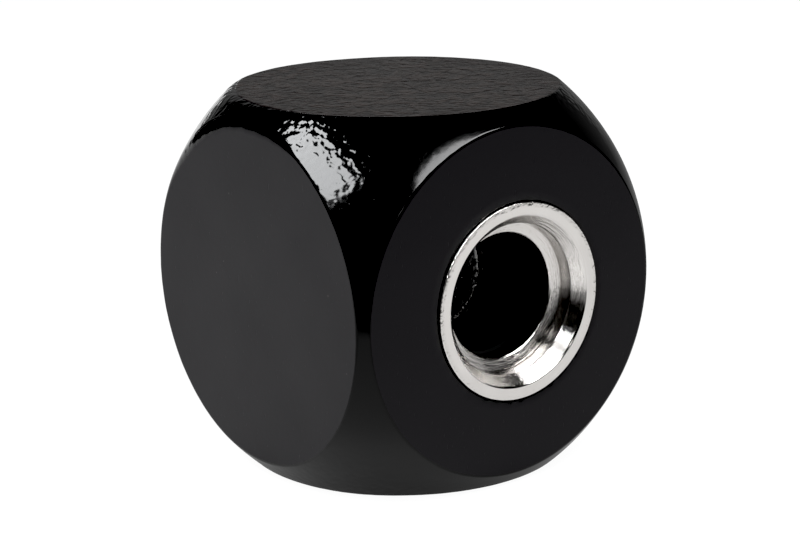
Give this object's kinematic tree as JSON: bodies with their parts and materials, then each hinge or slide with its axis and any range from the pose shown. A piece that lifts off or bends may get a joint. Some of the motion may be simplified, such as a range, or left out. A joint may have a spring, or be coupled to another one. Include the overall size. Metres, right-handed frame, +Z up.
{
  "type": "cube end knob",
  "caption": "Rounded black wooden cube with a flanged nickel-plated bush around a blind stepped socket that pushes onto the end of a round rod.",
  "frame": {"origin": "middle of the flat bottom face that the block rests on, below the middle of the cube", "axes": "+X out of the socket's mouth along its axis, +Z up from the rest face, +Y to the left of the socket when it is seen from its mouth"},
  "size_m": [0.0503, 0.05, 0.05],
  "materials": {
    "black_lacquered_wood": "glossy black lacquer over wood",
    "nickel_plate": "turned and nickel-plated, bright",
    "black_plastic": "semi-gloss moulded plastic"
  },
  "bodies": {
    "root": {"block_body": "black_lacquered_wood", "socket_bush": "nickel_plate", "bore_liner": "black_plastic"}
  },
  "joints": []
}
